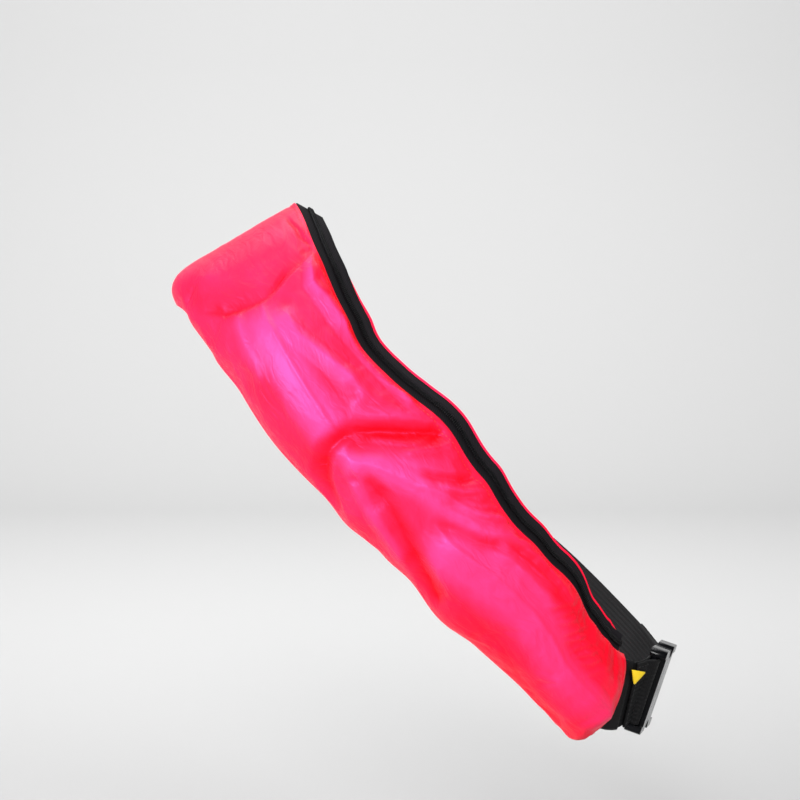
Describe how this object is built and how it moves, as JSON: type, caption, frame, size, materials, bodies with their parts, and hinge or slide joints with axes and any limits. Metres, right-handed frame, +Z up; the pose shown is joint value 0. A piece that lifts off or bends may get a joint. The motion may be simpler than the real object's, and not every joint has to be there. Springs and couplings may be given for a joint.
{
  "type": "inflatable belt pack",
  "caption": "Padded red nylon pouch with a zip along its upper edge, worn as a sash on a webbing belt with a side-release buckle",
  "frame": {"origin": "on the body side of the belt's line, at the crest of the shoulder that carries the pouch", "axes": "+X to the wearer's left, +Y to the wearer's back, +Z up"},
  "size_m": [0.3681, 0.2919, 0.3874],
  "materials": {
    "red_nylon": "coated woven nylon with a soft sheen",
    "coated_cloth": "coated cloth, smooth",
    "zip_cloth": "woven polyester tape, matt",
    "zip_coil": "nylon coil",
    "black_nylon": "woven nylon, matt",
    "black_webbing": "ribbed nylon webbing",
    "black_plastic": "moulded, glossy",
    "yellow_tab": "bright woven nylon"
  },
  "bodies": {
    "root": {"cover": "red_nylon", "bladder": "coated_cloth", "zip_tape_front": "zip_cloth", "zip_tape_back": "zip_cloth", "zip_coil": "zip_coil", "end_front": "black_nylon", "end_rear": "black_nylon", "webbing_short": "black_webbing", "webbing_long": "black_webbing", "buckle_male": "black_plastic", "buckle_female": "black_plastic", "pull_tab": "yellow_tab"}
  },
  "joints": []
}
